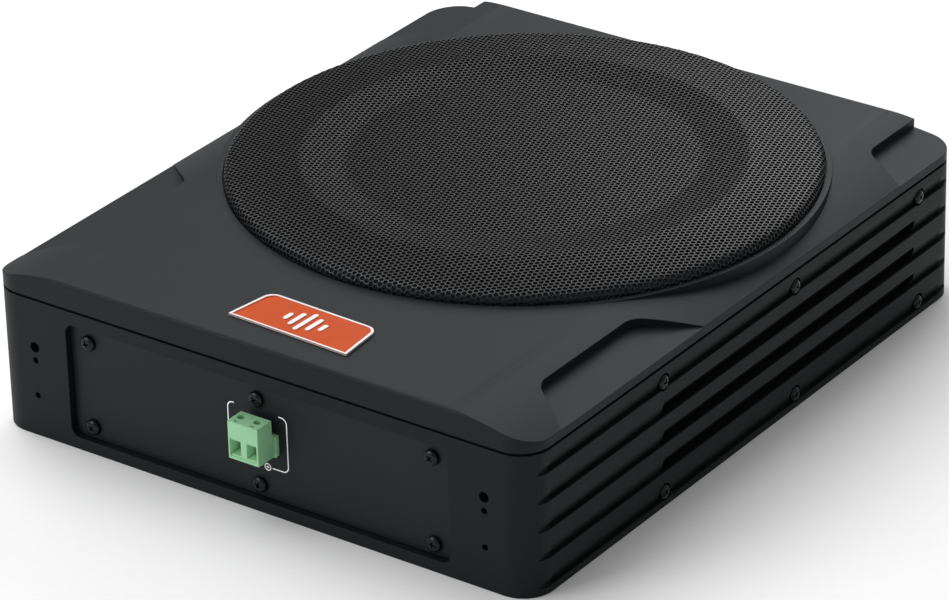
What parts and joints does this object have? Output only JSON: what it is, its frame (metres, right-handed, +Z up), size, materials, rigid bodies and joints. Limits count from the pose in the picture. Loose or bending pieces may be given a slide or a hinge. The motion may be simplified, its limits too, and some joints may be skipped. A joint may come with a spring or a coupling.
{
  "type": "powered car subwoofer",
  "caption": "Slim black powered car subwoofer with ribbed vented sides, a domed round grille and a green two-pole speaker terminal.",
  "frame": {"origin": "centre of the rectangle that the case stands on", "axes": "+Z up through the grille, -Y towards the end with the green speaker terminal, +X towards the right long side as seen from that end"},
  "size_m": [0.2547, 0.3175, 0.0775],
  "materials": {
    "shell": "satin black powder coat",
    "panel": "satin black paint",
    "fasteners": "black zinc",
    "grille_metal": "perforated, black paint",
    "badge_face": "gloss, silver border",
    "rubber": "matt",
    "green_plastic": "satin",
    "board": "satin",
    "basket_paint": "satin black paint",
    "steel": "zinc plated",
    "ferrite": "matt",
    "copper": "varnished",
    "former": "bare",
    "cone_paper": "coated, matt",
    "cloth": "resin treated",
    "aluminium_bar": "bare",
    "black_plastic": "satin",
    "capacitor_sleeve": "gloss",
    "fuse_plastic": "clear tint",
    "white_plastic": "gloss",
    "red_plastic": "gloss",
    "led_lens": "clear tint"
  },
  "bodies": {
    "enclosure": {"amp_board": "board", "back_plate": "steel", "badge": "badge_face", "base_plate": "panel", "capacitor_1": "capacitor_sleeve", "capacitor_2": "capacitor_sleeve", "case_screw_1": "fasteners", "case_screw_2": "fasteners", "case_screw_3": "fasteners", "case_screw_4": "fasteners", "chamber_partition": "shell", "choke_coil": "copper", "control_board": "board", "driver_basket": "basket_paint", "driver_gasket": "rubber", "front_panel": "panel", "front_screw_1": "fasteners", "front_screw_2": "fasteners", "front_screw_3": "fasteners", "front_screw_4": "fasteners", "front_screw_5": "fasteners", "front_screw_6": "fasteners", "fuse_holder": "black_plastic", "grille": "grille_metal", "heatsink_bar": "aluminium_bar", "input_board": "board", "lid": "shell", "lid_seal": "rubber", "line_jack_left": "white_plastic", "line_jack_right": "red_plastic", "lower_case": "shell", "magnet": "ferrite", "power_led": "led_lens", "power_terminal": "black_plastic", "power_transistor_1": "black_plastic", "power_transistor_2": "black_plastic", "rear_panel": "panel", "side_screw_1": "fasteners", "side_screw_2": "fasteners", "side_screw_3": "fasteners", "side_screw_4": "fasteners", "side_screw_5": "fasteners", "side_screw_6": "fasteners", "spider": "cloth", "surround": "rubber", "terminal_header": "green_plastic", "top_plate": "steel", "vent_screen_left": "panel", "vent_screen_right": "panel"},
    "cone_assembly": {"cone": "cone_paper", "dust_cap": "cone_paper", "voice_coil_former": "former", "voice_coil": "copper"},
    "plug": {"terminal_plug": "green_plastic"},
    "gain": {"gain_knob": "black_plastic"},
    "lowpass": {"lowpass_knob": "black_plastic"},
    "phase": {"phase_switch": "black_plastic"},
    "fuse_link": {"fuse": "fuse_plastic"}
  },
  "joints": [
    {"name": "cone_travel", "type": "slide", "parent": "enclosure", "child": "cone_assembly", "axis": [0, 0, 1], "range_m": [-0.0035, 0.0035], "stiffness_N_per_m": 4000, "deforming": ["surround", "spider"]},
    {"name": "plug_pull", "type": "slide", "parent": "enclosure", "child": "plug", "axis": [0, -1, 0], "range_m": [0, 0.012]},
    {"name": "gain_turn", "type": "hinge", "parent": "enclosure", "child": "gain", "pos_m": [-0.034, 0.152, 0.029], "axis": [0, 1, 0], "range_deg": [-140, 140]},
    {"name": "lowpass_turn", "type": "hinge", "parent": "enclosure", "child": "lowpass", "pos_m": [-0.052, 0.152, 0.029], "axis": [0, 1, 0], "range_deg": [-140, 140]},
    {"name": "phase_slide", "type": "slide", "parent": "enclosure", "child": "phase", "axis": [1, 0, 0], "range_m": [0, 0.0036]},
    {"name": "fuse_pull", "type": "slide", "parent": "enclosure", "child": "fuse_link", "axis": [0, 1, 0], "range_m": [0, 0.01]}
  ]
}
